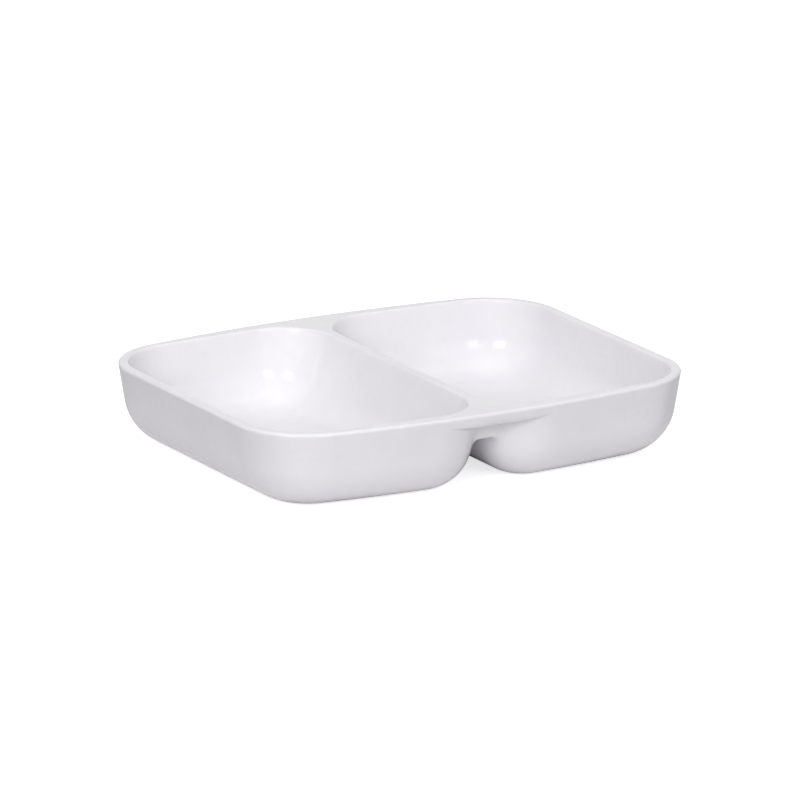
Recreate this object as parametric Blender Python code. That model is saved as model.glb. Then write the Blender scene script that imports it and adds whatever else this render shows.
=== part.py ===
"""Divided dipping dish: two compartments moulded side by side as one shell.

Metres, +Z up. The origin is on the table under the middle of the dish, +X runs along its
length and +Y across it. A quarter of the shell is lofted through computed rings and then
mirrored across the divider and across the middle of the compartments.

Every ring has the same columns. They run from the middle of the end wall, round the outer
corner, along the long wall, round the corner beside the divider and along the divider.
"""
import math
from collections import namedtuple

import bmesh
import bpy
from mathutils import Vector

# Overall size
LENGTH = 0.150
WIDTH = 0.124  # over the long sides, at the divider
HEIGHT = 0.0255

# Outlines seen from above
CORNER_RADIUS = 0.0240  # the four outer corners of the rim
SIDE_RADIUS = 0.390  # the long sides bow out as arcs of this radius
OPENING_SIDE_RADIUS = 0.900  # the openings bow less, so the rim widens towards the divider
DIVIDER_CORNER = 0.0168  # corners of the openings beside the divider
CHANNEL_CORNER = 0.0198  # outside of the same corners, beside the channel

# Shell
WALL = 0.0032
DIVIDER_TOP = 0.0034  # thickness of the divider at the rim
RIM_ROUND = 0.0009  # both edges of the rim
OUTER_DRAFT_DEG = 9.2
DIVIDER_DRAFT_DEG = 16.0
FLOOR_RADIUS = 0.0125  # floor to outer walls, inside
DIVIDER_FLOOR_RADIUS = 0.0109  # floor to divider, inside

# Channel under the divider, and the web that closes it towards the rim
CHANNEL_WIDTH = 0.0025  # at its top
WEB_SETBACK = 0.0095  # from the long side to the upright end of the web
WEB_FILLET = 0.0022  # web to the walls of the compartments
WEB_TOP_FILLET = 0.0026  # web's end to the rim above it
WEB_EDGE = 0.0011  # lower edge of the web's end
BRIDGE_SAG = 0.0016  # the rim is this much thicker where it crosses the channel
RIM_FILLET = 0.0009  # underside of the rim to the walls of the compartments
RIM_UNDER_EDGE = 0.0032  # lower edge of the rim where it overhangs the channel

# Foot: each compartment stands on a flat ring round a shallow recess
FOOT_WIDTH = 0.0045
FOOT_STEP = 0.0010
FOOT_HEIGHT = 0.0005
FOOT_CORNER = 0.0070

# Limits for rounds and fillets
LEAST_CORNER = 0.0010  # seen from above
LEAST_STRAIGHT = 0.0004  # between two fillets
EDGE_SHARE = 0.45  # of a wall, for one rounded edge
ROOF_SHARE = 0.75  # of the web's half width, for one fillet
SIDE_SHARE = 0.9  # of the fillet over the web's end, for the fillets at its sides
SAG_SHARE = 0.75  # of the way to the divider's middle, for the rim to reach its full thickness
UNDER_EDGE_SHARE = 0.6  # of the gap behind the rim, for its lower edge
RIM_FILLET_SHARE = 0.3  # of the rim's overhang, for the fillet under it

# Facets
END_STEPS = 3
CORNER_STEPS = 8
SIDE_STEPS = 5
BRIDGE_STEPS = 5  # corner beside the divider, as far as the divider's middle
SPAN_STEPS = 2  # on to the end of the web
EDGE_STEPS = 2  # each fillet of the web's end
ROOF_STEPS = 3  # on to the straight part of the channel
DIVIDER_STEPS = 4
FLOOR_STEPS = 6
WALL_STEPS = 2
FILLET_STEPS = 3
RIM_STEPS = 4
BRIDGE_SHARE = 0.75  # of the corner up to the web's end, for the columns that reach the rim's edge

# Finish
MELAMINE_COLOR = (0.88, 0.865, 0.90, 1.0)
MELAMINE_ROUGHNESS = 0.18

# Columns where the corner beside the divider starts, crosses the divider's middle, passes the
# end of the web, and ends
INNER_START = END_STEPS + CORNER_STEPS + SIDE_STEPS
BRIDGE_COLUMN = INNER_START + BRIDGE_STEPS
WEB_COLUMN = BRIDGE_COLUMN + SPAN_STEPS + EDGE_STEPS
DIVIDER_START = WEB_COLUMN + 1 + EDGE_STEPS + ROOF_STEPS
COLUMNS = DIVIDER_START + DIVIDER_STEPS + 1

# Levels and slopes
QUARTER_TURN = math.pi / 2
OUTER_DRAFT = math.radians(OUTER_DRAFT_DEG)
DIVIDER_DRAFT = math.radians(DIVIDER_DRAFT_DEG)
OUTER_WALL = WALL / math.cos(OUTER_DRAFT)
DIVIDER_WALL = WALL / math.cos(DIVIDER_DRAFT)
RIM_EDGE = min(RIM_ROUND, EDGE_SHARE * WALL, EDGE_SHARE * DIVIDER_TOP)
RIM_Z = HEIGHT - RIM_EDGE
WEB_Z = HEIGHT - WALL
BRIDGE_Z = WEB_Z - BRIDGE_SAG
LIP_X = DIVIDER_TOP / 2 - RIM_EDGE + RIM_EDGE / math.cos(DIVIDER_DRAFT)


def corner_centre(side_y, side_radius, x, corner):
    """Centre, at x, of a corner that runs on smoothly from a side arc centred at side_y."""
    return Vector((x, side_y + math.sqrt((side_radius - corner) ** 2 - x ** 2)))


# A family of rings: its outline at inset 0, with the divider's wall at inner_x. The long side
# is an arc of side_radius centred on the Y axis at side_y.
Outline = namedtuple("Outline", "end_x side_y side_radius end_corner inner_corner inner_x")
SIDE_Y = WIDTH / 2 - SIDE_RADIUS
OUTSIDE = Outline(
    LENGTH / 2, SIDE_Y, SIDE_RADIUS, CORNER_RADIUS, CHANNEL_CORNER, LIP_X - DIVIDER_WALL
)
# The openings' outer corners have the same centres as the corners of the rim
RIM_CORNER = corner_centre(SIDE_Y, SIDE_RADIUS, LENGTH / 2 - CORNER_RADIUS, CORNER_RADIUS)
OPENING_CORNER = CORNER_RADIUS - OUTER_WALL
OPENING_RISE = math.sqrt((OPENING_SIDE_RADIUS - OPENING_CORNER) ** 2 - RIM_CORNER.x ** 2)
OPENING = Outline(
    LENGTH / 2 - OUTER_WALL,
    RIM_CORNER.y - OPENING_RISE,
    OPENING_SIDE_RADIUS,
    OPENING_CORNER,
    DIVIDER_CORNER,
    LIP_X,
)


def drawn_in(z):
    """How far the outer walls have drawn in below the rim's round."""
    return (RIM_Z - z) * math.tan(OUTER_DRAFT)


def divider_spread(z):
    """How far the divider's walls have spread below the rim's round."""
    return (RIM_Z - z) * math.tan(DIVIDER_DRAFT)


# Channel, and floor fillets that end below the fillets at the top of their walls
CHANNEL_Z = RIM_Z - (CHANNEL_WIDTH / 2 - OUTSIDE.inner_x) / math.tan(DIVIDER_DRAFT)
WEB_END = WIDTH / 2 - WEB_SETBACK
WEB_HEIGHT = BRIDGE_Z - CHANNEL_Z
TOP_FILLET = min(WEB_TOP_FILLET, WEB_HEIGHT / 2)
SIDE_FILLET = min(WEB_FILLET, SIDE_SHARE * TOP_FILLET)
OUTER_TURN = QUARTER_TURN - OUTER_DRAFT
DIVIDER_TURN = QUARTER_TURN - DIVIDER_DRAFT
OUTER_FILLET_ROOM = (BRIDGE_Z - SIDE_FILLET - LEAST_STRAIGHT) / (1 - math.sin(OUTER_DRAFT)) - WALL
DIVIDER_FILLET_ROOM = (CHANNEL_Z - SIDE_FILLET - LEAST_STRAIGHT) / (1 - math.sin(DIVIDER_DRAFT)) - WALL
FLOOR_FILLET = min(FLOOR_RADIUS, OUTER_FILLET_ROOM)
DIVIDER_FILLET = min(DIVIDER_FLOOR_RADIUS, DIVIDER_FILLET_ROOM)


def spaced(start, end, steps):
    """Evenly spaced values from start to end."""
    return [start + (end - start) * k / steps for k in range(steps + 1)]


def eased(share):
    """Ease a share in and out, between 0 and 1."""
    share = min(max(share, 0.0), 1.0)
    return share * share * (3 - 2 * share)


def inner_corner(outline, inset, inner_x, least_corner=LEAST_CORNER):
    """Centre, radius and first angle of a ring's corner beside the divider."""
    radius = max(outline.inner_corner - (inset + inner_x - outline.inner_x) / 2, least_corner)
    centre = corner_centre(outline.side_y, outline.side_radius - inset, inner_x + radius, radius)
    return centre, radius, math.atan2(centre.y - outline.side_y, centre.x)


def wall_corner(z):
    """The outside corner beside the divider at height z."""
    return inner_corner(OUTSIDE, drawn_in(z), OUTSIDE.inner_x + divider_spread(z))


def turn_at(y, z):
    """Angle round that corner where the wall at height z reaches y."""
    centre, radius, _first = wall_corner(z)
    return math.pi - math.asin((y - centre.y) / radius)


def shares_round_corner():
    """How far each column lies round the corner beside the divider.

    The column at the end of the web keeps clear of the fillet there.
    """
    first = wall_corner(CHANNEL_Z)[2]
    web_share = (turn_at(WEB_END + SIDE_FILLET, CHANNEL_Z) - first) / (math.pi - first)
    shares = [0.0] * INNER_START
    shares += spaced(0.0, web_share, WEB_COLUMN - INNER_START)
    shares += spaced(web_share, 1.0, DIVIDER_START - WEB_COLUMN)[1:]
    return shares + [1.0] * DIVIDER_STEPS


CORNER_SHARE = shares_round_corner()


def plan_point(outline, column, inset, inner_x, turn=None, least_corner=LEAST_CORNER):
    """Plan point of one column on the ring drawn in by inset, with the divider's wall at inner_x.

    turn is the angle round the corner beside the divider, if the column's own isn't wanted.
    """
    side_radius = outline.side_radius - inset
    end_x = outline.end_x - inset
    end_radius = max(outline.end_corner - inset, least_corner)
    end_centre = corner_centre(outline.side_y, side_radius, end_x - end_radius, end_radius)
    end_angle = math.atan2(end_centre.y - outline.side_y, end_centre.x)
    inner_centre, inner_radius, inner_angle = inner_corner(outline, inset, inner_x, least_corner)
    if column <= END_STEPS:
        return Vector((end_x, end_centre.y * column / END_STEPS))
    if column <= END_STEPS + CORNER_STEPS:
        angle = end_angle * (column - END_STEPS) / CORNER_STEPS
        return end_centre + end_radius * Vector((math.cos(angle), math.sin(angle)))
    if column < INNER_START:
        share = (column - END_STEPS - CORNER_STEPS) / SIDE_STEPS
        angle = end_angle + (inner_angle - end_angle) * share
        return Vector((side_radius * math.cos(angle), outline.side_y + side_radius * math.sin(angle)))
    if column <= DIVIDER_START:
        angle = inner_angle + (math.pi - inner_angle) * CORNER_SHARE[column] if turn is None else turn
        return inner_centre + inner_radius * Vector((math.cos(angle), math.sin(angle)))
    return Vector((inner_x, inner_centre.y * (DIVIDER_START + DIVIDER_STEPS - column) / DIVIDER_STEPS))


def level_ring(outline, inset, inner_x, outer_z, inner_z, least_corner=LEAST_CORNER):
    """A whole ring: at outer_z on the outer walls, easing to inner_z at the divider."""
    ring = []
    for column in range(COLUMNS):
        point = plan_point(outline, column, inset, inner_x, None, least_corner)
        z = outer_z + (inner_z - outer_z) * eased(CORNER_SHARE[column])
        ring.append(Vector((point.x, point.y, z)))
    return ring


def floor_rings(outline, outer_radius, inner_radius, floor_z):
    """Rings of the fillet from a floor up to the walls of that outline."""
    outer_centre = drawn_in(floor_z + outer_radius) + outer_radius / math.cos(OUTER_DRAFT)
    inner_centre = divider_spread(floor_z + inner_radius) + inner_radius / math.cos(DIVIDER_DRAFT)
    inner_centre += outline.inner_x
    rings = []
    for k in range(FLOOR_STEPS + 1):
        outer_angle = OUTER_TURN * k / FLOOR_STEPS
        inner_angle = DIVIDER_TURN * k / FLOOR_STEPS
        rings.append(level_ring(
            outline,
            outer_centre - outer_radius * math.sin(outer_angle),
            inner_centre - inner_radius * math.sin(inner_angle),
            floor_z + outer_radius * (1 - math.cos(outer_angle)),
            floor_z + inner_radius * (1 - math.cos(inner_angle)),
        ))
    return rings


def lip_rings():
    """Rings of the rim's rounded inner edge, from the inside walls up to its flat top."""
    outer_centre = -RIM_EDGE / math.cos(OUTER_DRAFT)
    inner_centre = DIVIDER_TOP / 2 - RIM_EDGE
    rings = []
    for k in range(RIM_STEPS + 1):
        outer_angle = OUTER_DRAFT + OUTER_TURN * k / RIM_STEPS
        inner_angle = DIVIDER_DRAFT + DIVIDER_TURN * k / RIM_STEPS
        rings.append(level_ring(
            OPENING,
            outer_centre + RIM_EDGE * math.cos(outer_angle),
            inner_centre + RIM_EDGE * math.cos(inner_angle),
            RIM_Z + RIM_EDGE * math.sin(outer_angle),
            RIM_Z + RIM_EDGE * math.sin(inner_angle),
        ))
    return rings


def foot_rings():
    """Rings of the base, from the recess out to the inner edge of the flat foot."""
    outer_radius = FLOOR_FILLET + WALL
    inner_radius = DIVIDER_FILLET + WALL
    outer_edge = drawn_in(outer_radius) + outer_radius / math.cos(OUTER_DRAFT)
    inner_edge = OUTSIDE.inner_x + divider_spread(inner_radius) + inner_radius / math.cos(DIVIDER_DRAFT)
    rings = []
    for reach, z in ((FOOT_WIDTH + FOOT_STEP, FOOT_HEIGHT), (FOOT_WIDTH, 0.0)):
        rings.append(level_ring(OUTSIDE, outer_edge + reach, inner_edge + reach, z, z, FOOT_CORNER))
    return rings


def wall_point(column, z, turn=None):
    """Point of the outside wall of one column at height z."""
    point = plan_point(OUTSIDE, column, drawn_in(z), OUTSIDE.inner_x + divider_spread(z), turn)
    return Vector((point.x, point.y, z))


# Where the web or the rim meets a wall: angle round the corner, height, and the way along the
# wall that leads out into the open, as shares of turn and of height
Seam = namedtuple("Seam", "turn z away_turn away_z")


def bridge_share(column):
    """How far a column lies towards the divider's middle, from the start of the corner beside it."""
    return (column - INNER_START) / BRIDGE_STEPS


def under_z(column):
    """Height of the rim's underside, which sags towards the divider's middle."""
    return WEB_Z - BRIDGE_SAG * eased(bridge_share(column) / SAG_SHARE)


def corner_seams():
    """Seams of the columns round the corner beside the divider."""
    edge = min(WEB_EDGE, WEB_HEIGHT / 4)
    top_turn = turn_at(WEB_END + TOP_FILLET, BRIDGE_Z)
    first_turn = wall_corner(WEB_Z)[2]
    bridge_turn = first_turn + BRIDGE_SHARE * (top_turn - first_turn)
    turns = spaced(first_turn, bridge_turn, BRIDGE_STEPS) + spaced(bridge_turn, top_turn, SPAN_STEPS)[1:-1]
    seams = [Seam(turn, under_z(INNER_START + k), 0.0, -1.0) for k, turn in enumerate(turns)]
    for angle in spaced(0.0, QUARTER_TURN, EDGE_STEPS):
        y = WEB_END + TOP_FILLET * (1 - math.sin(angle))
        z = BRIDGE_Z - TOP_FILLET * (1 - math.cos(angle))
        seams.append(Seam(turn_at(y, z), z, -math.sin(angle), -math.cos(angle)))
    for angle in spaced(0.0, QUARTER_TURN, EDGE_STEPS):
        y = WEB_END - edge * (1 - math.cos(angle))
        z = CHANNEL_Z + edge * (1 - math.sin(angle))
        seams.append(Seam(turn_at(y, z), z, -math.cos(angle), -math.sin(angle)))
    last_turn = seams[-1].turn
    seams += [Seam(turn, CHANNEL_Z, 0.0, -1.0) for turn in spaced(last_turn, math.pi, ROOF_STEPS)[1:]]
    return seams


def rim_plan(column, inset):
    """Plan point of the rim's outline, up to where it crosses the divider's middle."""
    if column < INNER_START:
        return plan_point(OUTSIDE, column, inset, OUTSIDE.inner_x + inset)
    angle = inner_corner(OUTSIDE, 0.0, OUTSIDE.inner_x)[2]
    angle += (QUARTER_TURN - angle) * bridge_share(column)
    radius = SIDE_RADIUS - inset
    return Vector((radius * math.cos(angle), SIDE_Y + radius * math.sin(angle)))


class Section:
    """The outside of one column, from the floor fillet up to the web or the rim."""

    def __init__(self, column, seam, start):
        """start is the point where the floor fillet runs out into the wall."""
        self.column = column
        self.seam = seam
        self.start = start
        self.corner = wall_point(column, seam.z, seam.turn)
        self.open_share = 1.0
        if column > BRIDGE_COLUMN:
            span = min((column - BRIDGE_COLUMN) / SPAN_STEPS, 1.0)
            fillet = RIM_FILLET + (SIDE_FILLET - RIM_FILLET) * span
            self.reach = min(fillet, self.corner.x * ROOF_SHARE)
            self.edge = Vector((0.0, self.corner.y, seam.z))
        else:
            from_side = SIDE_RADIUS - math.hypot(self.corner.x, self.corner.y - SIDE_Y)
            overhang = max(from_side - drawn_in(seam.z), 0.0) if column > INNER_START else 0.0
            self.open_share = eased(overhang / LEAST_STRAIGHT)
            self.reach = min(RIM_FILLET, overhang * RIM_FILLET_SHARE)
            full_radius = RIM_UNDER_EDGE * eased(bridge_share(column))
            room = min(self.gap() * UNDER_EDGE_SHARE, RIM_Z - seam.z - LEAST_STRAIGHT)
            self.edge_radius = min(full_radius, room)
            self.edge = self.edge_point(0.0)

    def gap(self):
        """Open distance behind the rim's lower edge, as far as the wall or the corner's centre."""
        rim = rim_plan(self.column, drawn_in(self.seam.z))
        centre, radius, _first = wall_corner(self.seam.z)
        wall_y = centre.y + math.sqrt(max(radius ** 2 - (rim.x - centre.x) ** 2, 0.0))
        return max(rim.y - wall_y, 0.0)

    def outlet(self):
        """Where the fillet at the seam starts: turn and height on the wall."""
        turn = self.seam.turn
        if turn is not None:
            turn += self.seam.away_turn * self.reach / wall_corner(self.seam.z)[1]
        return turn, self.seam.z + self.seam.away_z * self.reach

    def flush(self, share):
        """A point of the plain wall, share of the way up the fillet's stretch."""
        return wall_point(self.column, self.seam.z - RIM_FILLET * (1 - share))

    def points(self):
        """Points up the wall and through the fillet to the web's edge."""
        turn, z = self.outlet()
        low = wall_point(self.column, z, turn)
        first = wall_corner(self.start.z)[2]
        start_turn = first + (math.pi - first) * CORNER_SHARE[self.column]
        open_points = []
        for k in range(1, WALL_STEPS):
            share = k / WALL_STEPS
            mid_turn = None if turn is None else start_turn + (turn - start_turn) * share
            open_points.append(wall_point(self.column, self.start.z + (z - self.start.z) * share, mid_turn))
        far = self.corner + (self.edge - self.corner).normalized() * self.reach
        for t in spaced(0.0, 1.0, FILLET_STEPS):
            open_points.append(low * (1 - t) ** 2 + self.corner * (2 * t * (1 - t)) + far * t ** 2)
        open_points.append(self.edge)
        flush_low = self.seam.z - RIM_FILLET
        flush_points = []
        for k in range(1, WALL_STEPS):
            z = self.start.z + (flush_low - self.start.z) * k / WALL_STEPS
            flush_points.append(wall_point(self.column, z))
        flush_points += [self.flush(share) for share in spaced(0.0, 1.0, FILLET_STEPS + 1)]
        return [a.lerp(b, self.open_share) for a, b in zip(flush_points, open_points)]

    def edge_point(self, angle):
        """Point round the rim's lower edge, from its underside to its upright face."""
        top = self.seam.z + self.edge_radius * (1 - math.cos(OUTER_TURN))
        inset = drawn_in(top) + self.edge_radius * (math.sin(OUTER_TURN) - math.sin(angle))
        rim = rim_plan(self.column, inset)
        return Vector((rim.x, rim.y, self.seam.z + self.edge_radius * (1 - math.cos(angle))))

    def under_edge(self):
        """Points round the rim's lower edge, or up the plain wall where nothing overhangs."""
        points = []
        for share in spaced(0.0, 1.0, FILLET_STEPS)[1:]:
            flush = wall_point(self.column, self.seam.z + RIM_FILLET * share)
            points.append(flush.lerp(self.edge_point(OUTER_TURN * share), self.open_share))
        return points


def sections(starts):
    """A section for every column, above the end of the floor fillet."""
    corner = corner_seams()
    made = []
    for column, start in enumerate(starts):
        if column < INNER_START:
            seam = Seam(None, WEB_Z, 0.0, -1.0)
        elif column <= DIVIDER_START:
            seam = corner[column - INNER_START]
        else:
            seam = Seam(None, CHANNEL_Z, 0.0, -1.0)
        made.append(Section(column, seam, start))
    return made


def crest_rings():
    """Rings of the rim's rounded outer edge, from its walls up to its flat top."""
    angles = [-OUTER_DRAFT] + spaced(0.0, QUARTER_TURN, RIM_STEPS)
    rings = []
    for angle in angles:
        z = RIM_Z + RIM_EDGE * math.sin(angle)
        plan = [rim_plan(column, RIM_EDGE * (1 - math.cos(angle))) for column in range(BRIDGE_COLUMN + 1)]
        rings.append([Vector((p.x, p.y, z)) for p in plan])
    return rings


def divider_crest():
    """Points along the divider's middle, on top, from the long side to the dish's centre."""
    first = WIDTH / 2 - RIM_EDGE
    corner_y = inner_corner(OPENING, 0.0, LIP_X)[0].y
    ys = spaced(first, corner_y, DIVIDER_START - BRIDGE_COLUMN)[1:]
    ys += spaced(corner_y, 0.0, DIVIDER_STEPS)[1:]
    return [Vector((0.0, y, HEIGHT)) for y in ys]


def add_ring(mesh, points):
    """Vertices of one ring."""
    return [mesh.verts.new(point) for point in points]


def bridge_rings(mesh, rings, facing_up):
    """Quads between neighbouring rings, as far as the shorter of them goes."""
    for lower, upper in zip(rings, rings[1:]):
        for k in range(min(len(lower), len(upper)) - 1):
            quad = (lower[k], upper[k], upper[k + 1], lower[k + 1])
            mesh.faces.new(quad if facing_up else quad[::-1])


def quarter_shell():
    """Mesh of the shell's quarter where x and y are above 0."""
    mesh = bmesh.new()
    inside = floor_rings(OPENING, FLOOR_FILLET, DIVIDER_FILLET, WALL) + lip_rings()
    inside = [add_ring(mesh, ring) for ring in inside]
    base = foot_rings() + floor_rings(OUTSIDE, FLOOR_FILLET + WALL, DIVIDER_FILLET + WALL, 0.0)
    walls = sections(base[-1])
    underside = base + [list(ring) for ring in zip(*(section.points() for section in walls))]
    underside = [add_ring(mesh, ring) for ring in underside]
    edges = zip(*(section.under_edge() for section in walls[:BRIDGE_COLUMN + 1]))
    rim = [underside[-1]]
    rim += [add_ring(mesh, ring) for ring in list(edges) + crest_rings()]
    inside.append(rim[-1] + add_ring(mesh, divider_crest()))
    bridge_rings(mesh, inside, True)
    bridge_rings(mesh, underside, False)
    bridge_rings(mesh, rim, False)
    mesh.faces.new(inside[0])
    mesh.faces.new(underside[0][::-1])
    return mesh


def melamine():
    """Glossy white melamine."""
    material = bpy.data.materials.new("melamine")
    material.use_nodes = True
    shader = material.node_tree.nodes["Principled BSDF"]
    shader.inputs["Base Color"].default_value = MELAMINE_COLOR
    shader.inputs["Roughness"].default_value = MELAMINE_ROUGHNESS
    shader.inputs["Metallic"].default_value = 0.0
    return material


def dish():
    """The whole dish, as one object."""
    mesh = bpy.data.meshes.new("dish")
    quarter = quarter_shell()
    quarter.to_mesh(mesh)
    quarter.free()
    mesh.shade_smooth()
    mesh.materials.append(melamine())
    shell = bpy.data.objects.new("dish", mesh)
    bpy.context.scene.collection.objects.link(shell)
    mirror = shell.modifiers.new("other_quarters", "MIRROR")
    mirror.use_axis = (True, True, False)
    mirror.merge_threshold = 0.00001
    return shell


for leftover in list(bpy.data.objects):
    bpy.data.objects.remove(leftover)
dish()
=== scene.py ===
"""Divided dipping dish in glossy white melamine, on a pale studio floor.

Metres, +Z up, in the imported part's own frame: +X runs along the dish, and -Y is its front. The dish
is lofted again from the part's sizes with many more rings and columns, so that its glossy fillets
reflect smoothly. A quarter is made, and mirrored across the divider and across the length.

Every ring has the same columns. They run from the middle of the end wall, round the outer corner,
along the long wall, round the corner beside the divider and along the divider.
"""
import math
from collections import namedtuple

import bmesh
import bpy
from mathutils import Matrix, Vector


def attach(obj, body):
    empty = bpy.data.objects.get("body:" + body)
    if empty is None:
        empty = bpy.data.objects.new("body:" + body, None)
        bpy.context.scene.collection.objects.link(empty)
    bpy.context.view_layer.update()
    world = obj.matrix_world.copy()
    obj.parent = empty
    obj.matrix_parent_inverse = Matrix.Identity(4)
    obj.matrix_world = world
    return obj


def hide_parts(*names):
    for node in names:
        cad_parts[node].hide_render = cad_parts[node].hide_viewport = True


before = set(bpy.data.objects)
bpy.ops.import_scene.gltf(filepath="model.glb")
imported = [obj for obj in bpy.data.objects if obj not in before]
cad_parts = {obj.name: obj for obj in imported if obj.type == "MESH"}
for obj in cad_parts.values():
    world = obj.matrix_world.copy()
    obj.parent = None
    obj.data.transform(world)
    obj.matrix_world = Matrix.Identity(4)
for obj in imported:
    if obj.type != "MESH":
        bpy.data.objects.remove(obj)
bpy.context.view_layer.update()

# Overall size. All sizes of the dish are the same as the part's
LENGTH = 0.150
WIDTH = 0.124  # over the long sides, at the divider
HEIGHT = 0.0255

# Outlines seen from above
CORNER_RADIUS = 0.0240  # the four outer corners of the rim
SIDE_RADIUS = 0.390  # the long sides bow out as arcs of this radius
OPENING_SIDE_RADIUS = 0.900  # the openings bow less, so the rim widens towards the divider
DIVIDER_CORNER = 0.0168  # corners of the openings beside the divider
CHANNEL_CORNER = 0.0198  # outside of the same corners, beside the channel

# Shell
WALL = 0.0032
DIVIDER_TOP = 0.0034  # thickness of the divider at the rim
RIM_EDGE = 0.0009  # rounds on both edges of the rim
OUTER_DRAFT = math.radians(9.2)
DIVIDER_DRAFT = math.radians(16.0)
FLOOR_FILLET = 0.0125  # floor to outer walls, inside
DIVIDER_FILLET = 0.0109  # floor to divider, inside

# Channel under the divider, and the web that closes it towards the rim
CHANNEL_WIDTH = 0.0025  # at its top
WEB_SETBACK = 0.0095  # from the long side to the upright end of the web
WEB_FILLET = 0.0022  # web to the walls of the compartments
WEB_TOP_FILLET = 0.0026  # web's end to the rim above it
WEB_EDGE = 0.0011  # lower edge of the web's end
BRIDGE_SAG = 0.0016  # the rim is this much thicker where it crosses the channel
RIM_FILLET = 0.0009  # underside of the rim to the walls of the compartments
RIM_UNDER_EDGE = 0.0032  # lower edge of the rim where it overhangs the channel

# Foot: each compartment stands on a flat ring round a shallow recess
FOOT_WIDTH = 0.0045
FOOT_STEP = 0.0010
FOOT_HEIGHT = 0.0005
FOOT_CORNER = 0.0070

# Limits for rounds and fillets
LEAST_CORNER = 0.0010  # seen from above
LEAST_STRAIGHT = 0.0004  # between two fillets
ROOF_SHARE = 0.75  # of the web's half width, for one fillet
SAG_SHARE = 0.75  # of the way to the divider's middle, for the rim to reach its full thickness
UNDER_EDGE_SHARE = 0.6  # of the gap behind the rim, for its lower edge
RIM_FILLET_SHARE = 0.3  # of the rim's overhang, for the fillet under it

# Facets
END_STEPS = 10
CORNER_STEPS = 24
SIDE_STEPS = 16
BRIDGE_STEPS = 18  # corner beside the divider, as far as the divider's middle
SPAN_STEPS = 8  # on to the end of the web
EDGE_STEPS = 6  # each fillet of the web's end
ROOF_STEPS = 8  # on to the straight part of the channel
DIVIDER_STEPS = 14
FLOOR_STEPS = 20
WALL_STEPS = 8
FILLET_STEPS = 6
RIM_STEPS = 8
BASE_STEPS = 6  # from the middle of a flat floor to its edge
BRIDGE_SHARE = 0.75  # of the corner up to the web's end, for the columns that reach the rim's edge
JOIN_DISTANCE = 0.000002  # between points that a mirror image shares

# Melamine. Scales are in cells per metre, a band is the part of a noise where its effect comes in,
# a share is the most that a colour is mixed in, and a depth is in metres
RESIN_DULL = (0.872, 0.852, 0.896, 1.0)
RESIN_PALE = (0.902, 0.888, 0.916, 1.0)
CLOUD_SCALE = 26.0
CLOUD_BAND = (0.35, 0.65)
MOTTLE_COLOR = (0.850, 0.834, 0.876, 1.0)
MOTTLE_SCALE = 420.0
MOTTLE_BAND = (0.42, 0.75)
MOTTLE_SHARE = 0.35
SPECK_COLOR = (0.36, 0.33, 0.36, 1.0)
SPECK_SCALE = 95.0
SPECK_EDGE = (0.055, 0.030)  # of a cell, from clear to full
SPECK_RARITY = 0.955  # share of the cells without a speck
SPECK_SHARE = 0.55
ROUGHNESS = (0.09, 0.13)
ROUGHNESS_SCALE = 30.0
ROUGHNESS_BAND = (0.25, 0.75)
WAVE_SCALE, WAVE_DEPTH, WAVE_STRENGTH = 48.0, 0.00035, 0.35
PEEL_SCALE, PEEL_DEPTH, PEEL_STRENGTH = 650.0, 0.00002, 0.30
SHADER_VALUES = {
    "Metallic": 0.0,
    "IOR": 1.50,
    "Subsurface Weight": 0.12,
    "Subsurface Radius": (1.0, 0.95, 1.0),
    "Subsurface Scale": 0.0012,
}

# Wear: a rim rubbed duller, and scratches on the floors, each set with its direction in radians
# and its scales along and across that
RUBBED_DEPTH = 0.0040  # below the rim's top, where the rubbing starts
RUBBED_ROUGHNESS = 0.05  # added to the roughness
SCRATCH_SETS = ((0.35, 60.0, 5200.0), (1.75, 75.0, 6100.0), (2.6, 55.0, 4700.0))
SCRATCH_BAND = (0.69, 0.76)
SCRATCH_BEND = 0.15  # distortion of the noise
SCRATCH_ROUGHNESS = 0.16  # added to the roughness
SCRATCH_DEPTH, SCRATCH_STRENGTH = 0.00002, 0.25
SCRATCH_HEIGHT = (0.0060, 0.0034)  # scratches come in between these heights
SCRATCH_SLOPE = (0.90, 0.99)  # and as the surface's upward share grows between these

# Studio floor: pale beside the dish and darker further out, but white to the camera and in gloss. In
# gloss a painted shadow of the dish darkens it under, beside and behind the dish
FLOOR_RADIUS = 6.0
FLOOR_SIDES = 64
FLOOR_DROP = 0.00005  # keeps it clear of the feet
FEET_BOX = (0.058, 0.045, 0.0)  # half sizes of the floor that the feet cover
FLOOR_NEAR = (0.85, 0.838, 0.86, 1.0)
FLOOR_FAR = (0.48, 0.473, 0.487, 1.0)
NEAR_REACH = 0.042  # from the feet, until the floor has its far colour
SHADOW_REACH = 0.12  # from the feet, as far as the camera sees the shadow
SHADOW_WHITE = 0.72  # least white that the camera sees at the feet, in full shadow
PAINTED_SHADE_GLOSS_REACH = 0.008  # from the feet, until gloss shows the floor as white; nearer, gloss shows painted shade under the dish
PAINTED_SHADOW_GLOSS_Y = (-0.066, -0.048)  # y where the floor in front of the dish ends and its sides begin, where gloss shows a painted shadow of the dish
PAINTED_SHADOW_GLOSS_WHITE = 0.3  # how white gloss shows the floor at the sides and behind, in that painted shadow

# Light
SKY_LIGHT = (-0.26, -0.47, 0.66)  # the way to the brightest surroundings, as long as their level
LEAST_SKY_LIGHT = 0.16
# A lamp's bearing is in degrees from the front, to the right, and its size is width and height
Lamp = namedtuple("Lamp", "name azimuth elevation distance size power")
LAMPS = (
    Lamp("front_lamp", 0.5, 22.5, 1.3, (0.45, 0.50), 2.1),
    Lamp("left_lamp", -54.5, 24.0, 1.3, (0.45, 0.42), 4.4),
    Lamp("top_lamp", 40.0, 84.0, 1.2, (1.20, 1.20), 2.8),
    Lamp("ceiling_lamp", 40.0, 84.0, 2.4, (0.12, 0.12), 0.5),
)

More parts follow.
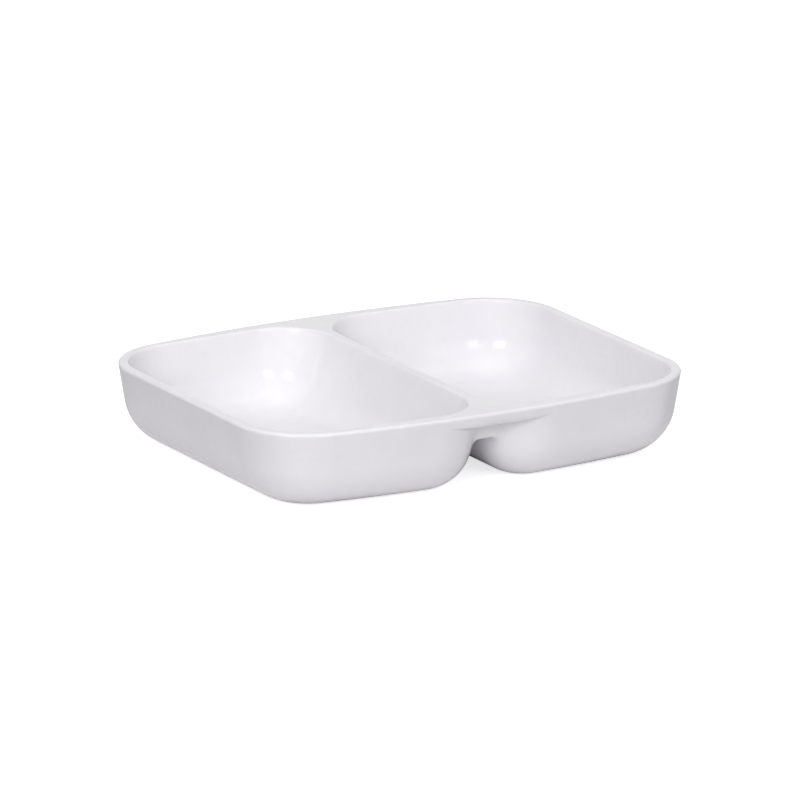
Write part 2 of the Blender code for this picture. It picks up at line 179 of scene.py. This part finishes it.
# The photograph's view: a long lens, from the front left and a little above
AZIMUTH = math.radians(-29.684)
ELEVATION = math.radians(15.586)
DISTANCE = 2.741055
LENS = 405.996
SENSOR_WIDTH = 36.0
CLIP_START = 0.05
CLIP_END = 50.0
AIM = Vector((0.0, 0.0, 0.011))
AIM_RIGHT = 0.000256
AIM_UP = 0.002984

# Columns where the corner beside the divider starts, crosses the divider's middle, passes the end
# of the web, and ends
INNER_START = END_STEPS + CORNER_STEPS + SIDE_STEPS
BRIDGE_COLUMN = INNER_START + BRIDGE_STEPS
WEB_COLUMN = BRIDGE_COLUMN + SPAN_STEPS + EDGE_STEPS
DIVIDER_START = WEB_COLUMN + 1 + EDGE_STEPS + ROOF_STEPS
COLUMNS = DIVIDER_START + DIVIDER_STEPS + 1

# Levels and slopes
QUARTER_TURN = math.pi / 2
OUTER_TURN = QUARTER_TURN - OUTER_DRAFT
DIVIDER_TURN = QUARTER_TURN - DIVIDER_DRAFT
OUTER_WALL = WALL / math.cos(OUTER_DRAFT)
DIVIDER_WALL = WALL / math.cos(DIVIDER_DRAFT)
RIM_Z = HEIGHT - RIM_EDGE
WEB_Z = HEIGHT - WALL
BRIDGE_Z = WEB_Z - BRIDGE_SAG
WEB_END = WIDTH / 2 - WEB_SETBACK
LIP_X = DIVIDER_TOP / 2 - RIM_EDGE + RIM_EDGE / math.cos(DIVIDER_DRAFT)


def corner_centre(side_y, side_radius, x, corner):
    """Centre, at x, of a corner that runs on smoothly from a side arc centred at side_y."""
    return Vector((x, side_y + math.sqrt((side_radius - corner) ** 2 - x ** 2)))


# A family of rings: its outline at inset 0, with the divider's wall at inner_x
Outline = namedtuple("Outline", "end_x side_y side_radius end_corner inner_corner inner_x")
# One ring of a family: inset and height on the outer walls, wall and height at the divider
Level = namedtuple("Level", "inset inner_x outer_z inner_z")
SIDE_Y = WIDTH / 2 - SIDE_RADIUS
OUTSIDE = Outline(
    LENGTH / 2, SIDE_Y, SIDE_RADIUS, CORNER_RADIUS, CHANNEL_CORNER, LIP_X - DIVIDER_WALL
)
RIM_CORNER = corner_centre(SIDE_Y, SIDE_RADIUS, LENGTH / 2 - CORNER_RADIUS, CORNER_RADIUS)
OPENING_CORNER = CORNER_RADIUS - OUTER_WALL
OPENING_RISE = math.sqrt((OPENING_SIDE_RADIUS - OPENING_CORNER) ** 2 - RIM_CORNER.x ** 2)
OPENING = Outline(
    LENGTH / 2 - OUTER_WALL,
    RIM_CORNER.y - OPENING_RISE,
    OPENING_SIDE_RADIUS,
    OPENING_CORNER,
    DIVIDER_CORNER,
    LIP_X,
)
CHANNEL_Z = RIM_Z - (CHANNEL_WIDTH / 2 - OUTSIDE.inner_x) / math.tan(DIVIDER_DRAFT)


def drawn_in(z):
    """How far the outer walls have drawn in below the rim's round."""
    return (RIM_Z - z) * math.tan(OUTER_DRAFT)


def divider_spread(z):
    """How far the divider's walls have spread below the rim's round."""
    return (RIM_Z - z) * math.tan(DIVIDER_DRAFT)


def between(a, b, share):
    """The value at a share of the way from a to b."""
    return a + (b - a) * share


def spaced(start, end, steps):
    """Evenly spaced values from start to end."""
    return [start + (end - start) * k / steps for k in range(steps + 1)]


def eased(share):
    """Ease a share in and out, between 0 and 1."""
    share = min(max(share, 0.0), 1.0)
    return share * share * (3 - 2 * share)


def raised(point, z):
    """A plan point at height z."""
    return Vector((point.x, point.y, z))


def corner_point(centre, radius, angle):
    """Plan point of a corner."""
    return centre + radius * Vector((math.cos(angle), math.sin(angle)))


def side_point(side_y, radius, angle):
    """Plan point of a side arc centred at side_y."""
    return Vector((radius * math.cos(angle), side_y + radius * math.sin(angle)))


def inner_corner(outline, inset, inner_x, least_corner=LEAST_CORNER):
    """Centre, radius and first angle of a ring's corner beside the divider."""
    radius = max(outline.inner_corner - (inset + inner_x - outline.inner_x) / 2, least_corner)
    centre = corner_centre(outline.side_y, outline.side_radius - inset, inner_x + radius, radius)
    return centre, radius, math.atan2(centre.y - outline.side_y, centre.x)


def wall_corner(z):
    """The outside corner beside the divider at height z."""
    return inner_corner(OUTSIDE, drawn_in(z), OUTSIDE.inner_x + divider_spread(z))


def turn_at(y, z):
    """Angle round that corner where the wall at height z reaches y."""
    centre, radius, _first = wall_corner(z)
    return math.pi - math.asin((y - centre.y) / radius)


def shares_round_corner():
    """How far each column lies round the corner beside the divider."""
    first = wall_corner(CHANNEL_Z)[2]
    web_share = (turn_at(WEB_END + WEB_FILLET, CHANNEL_Z) - first) / (math.pi - first)
    shares = [0.0] * INNER_START
    shares += spaced(0.0, web_share, WEB_COLUMN - INNER_START)
    shares += spaced(web_share, 1.0, DIVIDER_START - WEB_COLUMN)[1:]
    return shares + [1.0] * DIVIDER_STEPS


CORNER_SHARE = shares_round_corner()


def column_turn(first, column):
    """Angle of a column round a corner beside the divider that starts at the angle first."""
    return between(first, math.pi, CORNER_SHARE[column])


def plan_point(outline, column, inset, inner_x, turn=None, least_corner=LEAST_CORNER):
    """Plan point of a column on the ring drawn in by inset, with the divider's wall at inner_x."""
    side_radius = outline.side_radius - inset
    end_x = outline.end_x - inset
    end_radius = max(outline.end_corner - inset, least_corner)
    end_centre = corner_centre(outline.side_y, side_radius, end_x - end_radius, end_radius)
    end_angle = math.atan2(end_centre.y - outline.side_y, end_centre.x)
    inner_centre, inner_radius, inner_angle = inner_corner(outline, inset, inner_x, least_corner)
    if column <= END_STEPS:
        return Vector((end_x, end_centre.y * column / END_STEPS))
    if column <= END_STEPS + CORNER_STEPS:
        angle = end_angle * (column - END_STEPS) / CORNER_STEPS
        return corner_point(end_centre, end_radius, angle)
    if column < INNER_START:
        share = (column - END_STEPS - CORNER_STEPS) / SIDE_STEPS
        return side_point(outline.side_y, side_radius, between(end_angle, inner_angle, share))
    if column <= DIVIDER_START:
        angle = column_turn(inner_angle, column) if turn is None else turn
        return corner_point(inner_centre, inner_radius, angle)
    steps_left = DIVIDER_START + DIVIDER_STEPS - column
    return Vector((inner_x, inner_centre.y * steps_left / DIVIDER_STEPS))


def level_ring(outline, level, least_corner=LEAST_CORNER):
    """A whole ring, easing in height from the outer walls to the divider."""
    ring = []
    for column in range(COLUMNS):
        point = plan_point(
            outline, column, level.inset, level.inner_x, least_corner=least_corner
        )
        z = between(level.outer_z, level.inner_z, eased(CORNER_SHARE[column]))
        ring.append(raised(point, z))
    return ring


def floor_levels(outline, outer_radius, inner_radius, floor_z):
    """Levels of the fillet from a floor up to the walls of that outline."""
    outer_centre = drawn_in(floor_z + outer_radius) + outer_radius / math.cos(OUTER_DRAFT)
    inner_centre = divider_spread(floor_z + inner_radius) + inner_radius / math.cos(DIVIDER_DRAFT)
    levels = []
    for share in spaced(0.0, 1.0, FLOOR_STEPS):
        levels.append(Level(
            outer_centre - outer_radius * math.sin(OUTER_TURN * share),
            outline.inner_x + inner_centre - inner_radius * math.sin(DIVIDER_TURN * share),
            floor_z + outer_radius * (1 - math.cos(OUTER_TURN * share)),
            floor_z + inner_radius * (1 - math.cos(DIVIDER_TURN * share)),
        ))
    return levels


def lip_levels():
    """Levels of the rim's rounded inner edge, from the inside walls up to its flat top."""
    levels = []
    for share in spaced(0.0, 1.0, RIM_STEPS):
        outer_angle = OUTER_DRAFT + OUTER_TURN * share
        inner_angle = DIVIDER_DRAFT + DIVIDER_TURN * share
        levels.append(Level(
            RIM_EDGE * (math.cos(outer_angle) - 1 / math.cos(OUTER_DRAFT)),
            DIVIDER_TOP / 2 + RIM_EDGE * (math.cos(inner_angle) - 1),
            RIM_Z + RIM_EDGE * math.sin(outer_angle),
            RIM_Z + RIM_EDGE * math.sin(inner_angle),
        ))
    return levels


def inside_rings():
    """Rings of a compartment, from its floor's edge up to the rim's top."""
    floor = floor_levels(OPENING, FLOOR_FILLET, DIVIDER_FILLET, WALL)
    lip = lip_levels()
    wall = []
    for share in spaced(0.0, 1.0, WALL_STEPS)[1:-1]:
        wall.append(Level(*(between(a, b, share) for a, b in zip(floor[-1], lip[0]))))
    return [level_ring(OPENING, level) for level in floor + wall + lip]


def base_levels():
    """Levels of the fillet from the flat foot up to the outside walls."""
    return floor_levels(OUTSIDE, FLOOR_FILLET + WALL, DIVIDER_FILLET + WALL, 0.0)


def foot_rings():
    """Rings of the base, from the recess's edge to the inner edge of the flat foot."""
    edge = base_levels()[0]
    rings = []
    for share in spaced(1.0, 0.0, FILLET_STEPS):
        reach = FOOT_WIDTH + FOOT_STEP * share
        z = FOOT_HEIGHT * eased(share)
        level = Level(edge.inset + reach, edge.inner_x + reach, z, z)
        rings.append(level_ring(OUTSIDE, level, FOOT_CORNER))
    return rings


def wall_point(column, z, turn=None):
    """Point of the outside wall of one column at height z."""
    inner_x = OUTSIDE.inner_x + divider_spread(z)
    return raised(plan_point(OUTSIDE, column, drawn_in(z), inner_x, turn), z)


# Where the web or the rim meets a wall: angle round the corner, height, and the way along the
# wall that leads out into the open, as shares of turn and of height, or else straight down
Seam = namedtuple("Seam", "turn z away_turn away_z", defaults=(0.0, -1.0))


def bridge_share(column):
    """How far a column lies round the corner beside the divider, towards the divider's middle."""
    return (column - INNER_START) / BRIDGE_STEPS


def under_z(column):
    """Height of the rim's underside, which sags towards the divider's middle."""
    return WEB_Z - BRIDGE_SAG * eased(bridge_share(column) / SAG_SHARE)


def corner_seams():
    """Seams of the columns round the corner beside the divider."""
    top_turn = turn_at(WEB_END + WEB_TOP_FILLET, BRIDGE_Z)
    first_turn = wall_corner(WEB_Z)[2]
    bridge_turn = between(first_turn, top_turn, BRIDGE_SHARE)
    turns = spaced(first_turn, bridge_turn, BRIDGE_STEPS)
    turns += spaced(bridge_turn, top_turn, SPAN_STEPS)[1:-1]
    seams = [Seam(turn, under_z(INNER_START + k)) for k, turn in enumerate(turns)]
    for angle in spaced(0.0, QUARTER_TURN, EDGE_STEPS):
        y = WEB_END + WEB_TOP_FILLET * (1 - math.sin(angle))
        z = BRIDGE_Z - WEB_TOP_FILLET * (1 - math.cos(angle))
        seams.append(Seam(turn_at(y, z), z, -math.sin(angle), -math.cos(angle)))
    for angle in spaced(0.0, QUARTER_TURN, EDGE_STEPS):
        y = WEB_END - WEB_EDGE * (1 - math.cos(angle))
        z = CHANNEL_Z + WEB_EDGE * (1 - math.sin(angle))
        seams.append(Seam(turn_at(y, z), z, -math.cos(angle), -math.sin(angle)))
    roof_turns = spaced(seams[-1].turn, math.pi, ROOF_STEPS)[1:]
    return seams + [Seam(turn, CHANNEL_Z) for turn in roof_turns]


def rim_plan(column, inset):
    """Plan point of the rim's outline, up to where it crosses the divider's middle."""
    if column < INNER_START:
        return plan_point(OUTSIDE, column, inset, OUTSIDE.inner_x + inset)
    first = inner_corner(OUTSIDE, 0.0, OUTSIDE.inner_x)[2]
    angle = between(first, QUARTER_TURN, bridge_share(column))
    return side_point(SIDE_Y, SIDE_RADIUS - inset, angle)


class Section:
    """The outside of one column, from the floor fillet up to the web or the rim."""

    def __init__(self, column, seam, start):
        """start is the point where the floor fillet runs out into the wall."""
        self.column = column
        self.seam = seam
        self.start = start
        self.corner = wall_point(column, seam.z, seam.turn)
        self.open_share = 1.0
        if column > BRIDGE_COLUMN:
            span = min((column - BRIDGE_COLUMN) / SPAN_STEPS, 1.0)
            self.reach = min(between(RIM_FILLET, WEB_FILLET, span), self.corner.x * ROOF_SHARE)
            self.edge = Vector((0.0, self.corner.y, seam.z))
        else:
            from_side = SIDE_RADIUS - math.hypot(self.corner.x, self.corner.y - SIDE_Y)
            overhang = max(from_side - drawn_in(seam.z), 0.0) if column > INNER_START else 0.0
            self.open_share = eased(overhang / LEAST_STRAIGHT)
            self.reach = min(RIM_FILLET, overhang * RIM_FILLET_SHARE)
            full_radius = RIM_UNDER_EDGE * eased(bridge_share(column))
            room = min(self.gap() * UNDER_EDGE_SHARE, RIM_Z - seam.z - LEAST_STRAIGHT)
            self.edge_radius = min(full_radius, room)
            self.edge = self.edge_point(0.0)

    def gap(self):
        """Open distance behind the rim's lower edge, as far as the wall or the corner's centre."""
        rim = rim_plan(self.column, drawn_in(self.seam.z))
        centre, radius, _first = wall_corner(self.seam.z)
        wall_y = centre.y + math.sqrt(max(radius ** 2 - (rim.x - centre.x) ** 2, 0.0))
        return max(rim.y - wall_y, 0.0)

    def outlet(self):
        """Where the fillet at the seam starts: turn and height on the wall."""
        turn = self.seam.turn
        if turn is not None:
            turn += self.seam.away_turn * self.reach / wall_corner(self.seam.z)[1]
        return turn, self.seam.z + self.seam.away_z * self.reach

    def points(self):
        """Points up the wall and through the fillet to the web's edge, or up the plain wall."""
        turn, z = self.outlet()
        low = wall_point(self.column, z, turn)
        start_z = self.start.z
        start_turn = column_turn(wall_corner(start_z)[2], self.column)
        flush_low = self.seam.z - RIM_FILLET
        open_points = []
        flush_points = []
        for share in spaced(0.0, 1.0, WALL_STEPS)[1:-1]:
            mid_turn = None if turn is None else between(start_turn, turn, share)
            open_points.append(wall_point(self.column, between(start_z, z, share), mid_turn))
            flush_points.append(wall_point(self.column, between(start_z, flush_low, share)))
        far = self.corner + (self.edge - self.corner).normalized() * self.reach
        for t in spaced(0.0, 1.0, FILLET_STEPS):
            open_points.append(low * (1 - t) ** 2 + self.corner * (2 * t * (1 - t)) + far * t ** 2)
        open_points += [far.lerp(self.edge, 0.5), self.edge]
        for share in spaced(0.0, 1.0, FILLET_STEPS + 2):
            flush_points.append(wall_point(self.column, flush_low + RIM_FILLET * share))
        return [a.lerp(b, self.open_share) for a, b in zip(flush_points, open_points)]

    def edge_point(self, angle):
        """Point round the rim's lower edge, from its underside to its upright face."""
        top = self.seam.z + self.edge_radius * (1 - math.cos(OUTER_TURN))
        inset = drawn_in(top) + self.edge_radius * (math.sin(OUTER_TURN) - math.sin(angle))
        z = self.seam.z + self.edge_radius * (1 - math.cos(angle))
        return raised(rim_plan(self.column, inset), z)

    def under_edge(self):
        """Points round the rim's lower edge, or up the plain wall where nothing overhangs."""
        points = []
        for share in spaced(0.0, 1.0, FILLET_STEPS)[1:]:
            flush = wall_point(self.column, self.seam.z + RIM_FILLET * share)
            points.append(flush.lerp(self.edge_point(OUTER_TURN * share), self.open_share))
        return points


def sections(starts):
    """A section for every column, above the end of the floor fillet."""
    corner = corner_seams()
    made = []
    for column, start in enumerate(starts):
        if INNER_START <= column <= DIVIDER_START:
            seam = corner[column - INNER_START]
        else:
            seam = Seam(None, WEB_Z if column < INNER_START else CHANNEL_Z)
        made.append(Section(column, seam, start))
    return made


def crest_rings():
    """Rings of the rim's rounded outer edge, from its walls up to its flat top."""
    rings = []
    for angle in [-OUTER_DRAFT] + spaced(0.0, QUARTER_TURN, RIM_STEPS):
        inset = RIM_EDGE * (1 - math.cos(angle))
        z = RIM_Z + RIM_EDGE * math.sin(angle)
        rings.append([raised(rim_plan(k, inset), z) for k in range(BRIDGE_COLUMN + 1)])
    return rings


def divider_crest():
    """Points along the divider's middle, on top, from the long side to the dish's centre."""
    corner_y = inner_corner(OPENING, 0.0, LIP_X)[0].y
    ys = spaced(WIDTH / 2 - RIM_EDGE, corner_y, DIVIDER_START - BRIDGE_COLUMN)[1:]
    ys += spaced(corner_y, 0.0, DIVIDER_STEPS)[1:]
    return [Vector((0.0, y, HEIGHT)) for y in ys]


def flat_rings(ring):
    """Rings that fill a flat floor inside its edge, the innermost first, and its middle point."""
    middle = Vector(((ring[0].x + ring[-1].x) / 2, 0.0, ring[0].z))
    return [[middle.lerp(p, k / BASE_STEPS) for p in ring] for k in range(1, BASE_STEPS)], middle


def add_ring(mesh, points):
    """Vertices of one ring."""
    return [mesh.verts.new(point) for point in points]


def bridge_rings(mesh, rings, facing_up):
    """Quads between neighbouring rings, as far as the shorter of them goes."""
    for lower, upper in zip(rings, rings[1:]):
        for k in range(min(len(lower), len(upper)) - 1):
            quad = (lower[k], upper[k], upper[k + 1], lower[k + 1])
            mesh.faces.new(quad if facing_up else quad[::-1])


def fan(mesh, middle, ring, facing_up):
    """Triangles from a middle point to the innermost ring."""
    hub = mesh.verts.new(middle)
    for a, b in zip(ring, ring[1:]):
        mesh.faces.new((hub, a, b) if facing_up else (hub, b, a))


def quarter_shell(mesh):
    """Add the shell's quarter where x and y are above 0."""
    bowl = inside_rings()
    floor, floor_middle = flat_rings(bowl[0])
    inside = [add_ring(mesh, ring) for ring in floor + bowl]
    foot = foot_rings()
    recess, recess_middle = flat_rings(foot[0])
    base = recess + foot + [level_ring(OUTSIDE, level) for level in base_levels()]
    walls = sections(base[-1])
    underside = base + [list(ring) for ring in zip(*(section.points() for section in walls))]
    underside = [add_ring(mesh, ring) for ring in underside]
    edges = zip(*(section.under_edge() for section in walls[:BRIDGE_COLUMN + 1]))
    rim = [underside[-1]]
    rim += [add_ring(mesh, ring) for ring in list(edges) + crest_rings()]
    inside.append(rim[-1] + add_ring(mesh, divider_crest()))
    bridge_rings(mesh, inside, True)
    bridge_rings(mesh, underside, False)
    bridge_rings(mesh, rim, False)
    fan(mesh, floor_middle, inside[0], True)
    fan(mesh, recess_middle, underside[0], False)


def add_mirror_image(mesh, axis):
    """Add the mirror image of the whole mesh across one axis, facing out, and join it on."""
    made = bmesh.ops.duplicate(mesh, geom=mesh.verts[:] + mesh.edges[:] + mesh.faces[:])["geom"]
    for item in made:
        if isinstance(item, bmesh.types.BMVert):
            item.co[axis] = -item.co[axis]
    bmesh.ops.reverse_faces(mesh, faces=[f for f in made if isinstance(f, bmesh.types.BMFace)])
    bmesh.ops.remove_doubles(mesh, verts=mesh.verts[:], dist=JOIN_DISTANCE)


def add_object(name, data):
    """A new object in the scene."""
    made = bpy.data.objects.new(name, data)
    bpy.context.scene.collection.objects.link(made)
    return made


def mesh_object(name, mesh, material):
    """A new object from a finished bmesh, which is freed."""
    data = bpy.data.meshes.new(name)
    mesh.to_mesh(data)
    mesh.free()
    data.materials.append(material)
    return add_object(name, data)


def dish_piece(material):
    """The dish, as one smooth object."""
    mesh = bmesh.new()
    quarter_shell(mesh)
    for axis in (0, 1):
        add_mirror_image(mesh, axis)
    piece = mesh_object("melamine_dish", mesh, material)
    piece.data.shade_smooth()
    return piece


class Nodes:
    """Short ways to add and join the nodes of a material or a world."""

    def __init__(self, owner):
        owner.use_nodes = True
        self.owner = owner
        self.tree = owner.node_tree
        self.coordinates = self.add("ShaderNodeTexCoord").outputs
        self.object = self.coordinates["Object"]

    def add(self, kind, inputs=(), **settings):
        """A node with its settings and inputs, each input a value or another node's output."""
        node = self.tree.nodes.new(kind)
        for key, value in settings.items():
            setattr(node, key, value)
        for key, value in dict(inputs).items():
            self.put(node.inputs[key], value)
        return node

    def put(self, socket, value):
        """Set a socket to a value, or join it to an output."""
        if isinstance(value, bpy.types.NodeSocket):
            self.tree.links.new(value, socket)
        else:
            socket.default_value = value

    def noise(self, scale, detail=2.0, roughness=0.5, vector=None, distortion=0.0):
        """Fractal noise; scale is in cells per metre."""
        return self.add("ShaderNodeTexNoise", {
            "Vector": vector or self.object,
            "Scale": scale,
            "Detail": detail,
            "Roughness": roughness,
            "Distortion": distortion,
        }).outputs["Fac"]

    def ramp(self, value, low, high, start=0.0, end=1.0):
        """A value eased from start at low to end at high."""
        return self.add("ShaderNodeMapRange", {
            "Value": value,
            "From Min": low,
            "From Max": high,
            "To Min": start,
            "To Max": end,
        }, interpolation_type="SMOOTHSTEP").outputs["Result"]

    def math(self, operation, a, b=0.0, c=0.0):
        """One sum of up to three values."""
        return self.add("ShaderNodeMath", {0: a, 1: b, 2: c}, operation=operation).outputs[0]

    def vector_math(self, operation, a, b=(0.0, 0.0, 0.0)):
        """The vector and the value of one sum of up to two vectors."""
        return self.add("ShaderNodeVectorMath", {0: a, 1: b}, operation=operation).outputs

    def along(self, axis, vector):
        """A vector's length along one axis."""
        return self.add("ShaderNodeSeparateXYZ", {0: vector}).outputs[axis]

    def mix(self, share, a, b):
        """Colour a at share 0, colour b at share 1."""
        # By number, because the sockets for colours and for values have the same names
        return self.add("ShaderNodeMix", {0: share, 6: a, 7: b}, data_type="RGBA").outputs[2]

    def bump(self, height, distance, strength, normal=None):
        """Bump of a height map; distance in metres."""
        inputs = {"Height": height, "Distance": distance, "Strength": strength}
        if normal is not None:
            inputs["Normal"] = normal
        return self.add("ShaderNodeBump", inputs).outputs["Normal"]

    def background_rays(self):
        """1 for rays straight from the camera, and 1 for rays in gloss or through glass."""
        path = self.add("ShaderNodeLightPath").outputs
        in_gloss = self.math("MAXIMUM", path["Is Glossy Ray"], path["Is Transmission Ray"])
        return path["Is Camera Ray"], in_gloss


def resin_color(n):
    """Colour: slow clouding of the resin, fine mottling, a few dark specks."""
    clouds = n.ramp(n.noise(CLOUD_SCALE, detail=3.0, roughness=0.55), *CLOUD_BAND)
    color = n.mix(clouds, RESIN_DULL, RESIN_PALE)
    mottle = n.ramp(n.noise(MOTTLE_SCALE, roughness=0.6), *MOTTLE_BAND, 0.0, MOTTLE_SHARE)
    color = n.mix(mottle, color, MOTTLE_COLOR)
    cells = n.add("ShaderNodeTexVoronoi", {"Vector": n.object, "Scale": SPECK_SCALE}).outputs
    chance = n.add("ShaderNodeSeparateColor", {0: cells["Color"]}).outputs[0]
    rare = n.math("GREATER_THAN", chance, SPECK_RARITY)
    speck = n.math("MULTIPLY", n.ramp(cells["Distance"], *SPECK_EDGE), rare)
    return n.mix(n.math("MULTIPLY", speck, SPECK_SHARE), color, SPECK_COLOR)


def floor_scratches(n, height):
    """Fine scratches in a few directions, on the level floors of the compartments only."""
    up = n.along("Z", n.add("ShaderNodeNewGeometry").outputs["Normal"])
    on_floor = n.math("MULTIPLY", n.ramp(height, *SCRATCH_HEIGHT), n.ramp(up, *SCRATCH_SLOPE))
    scratches = None
    for angle, along, across in SCRATCH_SETS:
        turned = n.add("ShaderNodeMapping", {
            "Vector": n.object,
            "Rotation": (0.0, 0.0, angle),
            "Scale": (along, across, along),
        }).outputs["Vector"]
        noise = n.noise(1.0, detail=1.0, roughness=0.4, vector=turned, distortion=SCRATCH_BEND)
        line = n.ramp(noise, *SCRATCH_BAND)
        scratches = line if scratches is None else n.math("MAXIMUM", scratches, line)
    return n.math("MULTIPLY", scratches, on_floor)


def melamine():
    """Glossy off-white melamine, faintly lavender, with a moulded surface and light wear."""
    n = Nodes(bpy.data.materials.new("melamine_gloss"))
    height = n.along("Z", n.object)
    scratches = floor_scratches(n, height)

    # Roughness: uneven, more on scratches and on the rubbed rim
    rubbed = n.ramp(height, HEIGHT - RUBBED_DEPTH, HEIGHT)
    roughness = n.ramp(n.noise(ROUGHNESS_SCALE), *ROUGHNESS_BAND, *ROUGHNESS)
    roughness = n.math("MULTIPLY_ADD", scratches, SCRATCH_ROUGHNESS, roughness)
    roughness = n.math("MULTIPLY_ADD", rubbed, RUBBED_ROUGHNESS, roughness)

    # Surface: slow mould waviness, orange peel, scratches
    normal = n.bump(n.noise(WAVE_SCALE, detail=1.0), WAVE_DEPTH, WAVE_STRENGTH)
    normal = n.bump(n.noise(PEEL_SCALE), PEEL_DEPTH, PEEL_STRENGTH, normal)
    unscratched = n.math("SUBTRACT", 1.0, scratches)
    normal = n.bump(unscratched, SCRATCH_DEPTH, SCRATCH_STRENGTH, normal)

    shader = n.tree.nodes["Principled BSDF"]
    n.put(shader.inputs["Base Color"], resin_color(n))
    n.put(shader.inputs["Roughness"], roughness)
    n.put(shader.inputs["Normal"], normal)
    for name, value in SHADER_VALUES.items():
        shader.inputs[name].default_value = value
    return n.owner


def floor_material():
    """Pale studio floor that takes the dish's shadow and shows as white, with a painted shadow of the
    dish where gloss sees it.
    """
    n = Nodes(bpy.data.materials.new("studio_floor"))
    n.tree.nodes.remove(n.tree.nodes["Principled BSDF"])
    # Distance outside the feet, along the floor
    corner = n.vector_math("ABSOLUTE", n.object)["Vector"]
    corner = n.vector_math("SUBTRACT", corner, FEET_BOX)["Vector"]
    corner = n.vector_math("MAXIMUM", corner)["Vector"]
    away = n.vector_math("LENGTH", corner)["Value"]
    # White to the camera, a little less beside the dish where its shadow shows
    camera, gloss = n.background_rays()
    seen = n.math("MULTIPLY", camera, n.ramp(away, 0.0, SHADOW_REACH, SHADOW_WHITE, 1.0))
    # White in gloss too, most in front of the dish and not under it: a painted reflection of a lit
    # floor, with a painted shadow of the dish under it, beside it and behind it
    front = n.ramp(n.along("Y", n.object), *PAINTED_SHADOW_GLOSS_Y, 1.0, PAINTED_SHADOW_GLOSS_WHITE)
    front = n.math("MULTIPLY", front, n.ramp(away, 0.0, PAINTED_SHADE_GLOSS_REACH))
    glow = n.math("MAXIMUM", seen, n.math("MULTIPLY", gloss, front))
    color = n.mix(n.ramp(away, 0.0, NEAR_REACH), FLOOR_NEAR, FLOOR_FAR)
    both = n.add("ShaderNodeAddShader", {
        0: n.add("ShaderNodeBsdfDiffuse", {"Color": color}).outputs[0],
        1: n.add("ShaderNodeEmission", {"Strength": glow}).outputs[0],
    })
    n.put(n.tree.nodes["Material Output"].inputs["Surface"], both.outputs[0])
    return n.owner


def studio_floor():
    """A wide flat floor under the dish."""
    mesh = bmesh.new()
    bmesh.ops.create_circle(mesh, cap_ends=True, radius=FLOOR_RADIUS, segments=FLOOR_SIDES)
    floor = mesh_object("studio_floor", mesh, floor_material())
    floor.location.z = -FLOOR_DROP
    return floor


def direction(azimuth, elevation):
    """The way from the dish to a bearing from its front, to the right, and up to an elevation."""
    return Vector((
        math.sin(azimuth) * math.cos(elevation),
        -math.cos(azimuth) * math.cos(elevation),
        math.sin(elevation),
    ))


def add_lamp(lamp):
    """Add a soft lamp that points at the dish."""
    way = direction(math.radians(lamp.azimuth), math.radians(lamp.elevation))
    place = lamp.distance * way
    data = bpy.data.lights.new(lamp.name, "AREA")
    data.shape = "RECTANGLE"
    data.size, data.size_y = lamp.size
    data.energy = lamp.power
    light = add_object(lamp.name, data)
    light.location = place
    aim = Vector((0.0, 0.0, HEIGHT / 2)) - place
    light.rotation_euler = aim.to_track_quat("-Z", "Y").to_euler()


def studio_world():
    """Surroundings that light from above and the front left, white to the camera and in gloss."""
    world = bpy.data.worlds.new("studio")
    n = Nodes(world)
    toward = n.vector_math("DOT_PRODUCT", n.coordinates["Generated"], SKY_LIGHT)["Value"]
    light = n.math("MAXIMUM", toward, LEAST_SKY_LIGHT)
    seen = n.math("MAXIMUM", *n.background_rays())
    strength = n.add("ShaderNodeMapRange", {"Value": seen, "To Min": light, "To Max": 1.0})
    background = n.tree.nodes["Background"]
    background.inputs["Color"].default_value = (1.0, 1.0, 1.0, 1.0)
    n.put(background.inputs["Strength"], strength.outputs["Result"])
    bpy.context.scene.world = world


def studio_light():
    """The surroundings, a soft lamp on either side of the camera and two overhead."""
    studio_world()
    for lamp in LAMPS:
        add_lamp(lamp)


def photo_camera():
    """Camera at the photograph's viewing angle."""
    back = direction(AZIMUTH, ELEVATION)
    right = Vector((math.cos(AZIMUTH), math.sin(AZIMUTH), 0.0))
    up = back.cross(right)
    data = bpy.data.cameras.new("camera")
    data.sensor_width = SENSOR_WIDTH
    data.lens = LENS
    data.clip_start = CLIP_START
    data.clip_end = CLIP_END
    camera = add_object("camera", data)
    camera.matrix_world = Matrix((right, up, back)).transposed().to_4x4()
    camera.location = AIM + right * AIM_RIGHT + up * AIM_UP + back * DISTANCE
    bpy.context.scene.camera = camera


dish = dish_piece(melamine())
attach(dish, "root")
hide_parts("dish")
studio_floor()
studio_light()
photo_camera()
bpy.context.scene.view_settings.view_transform = "Standard"
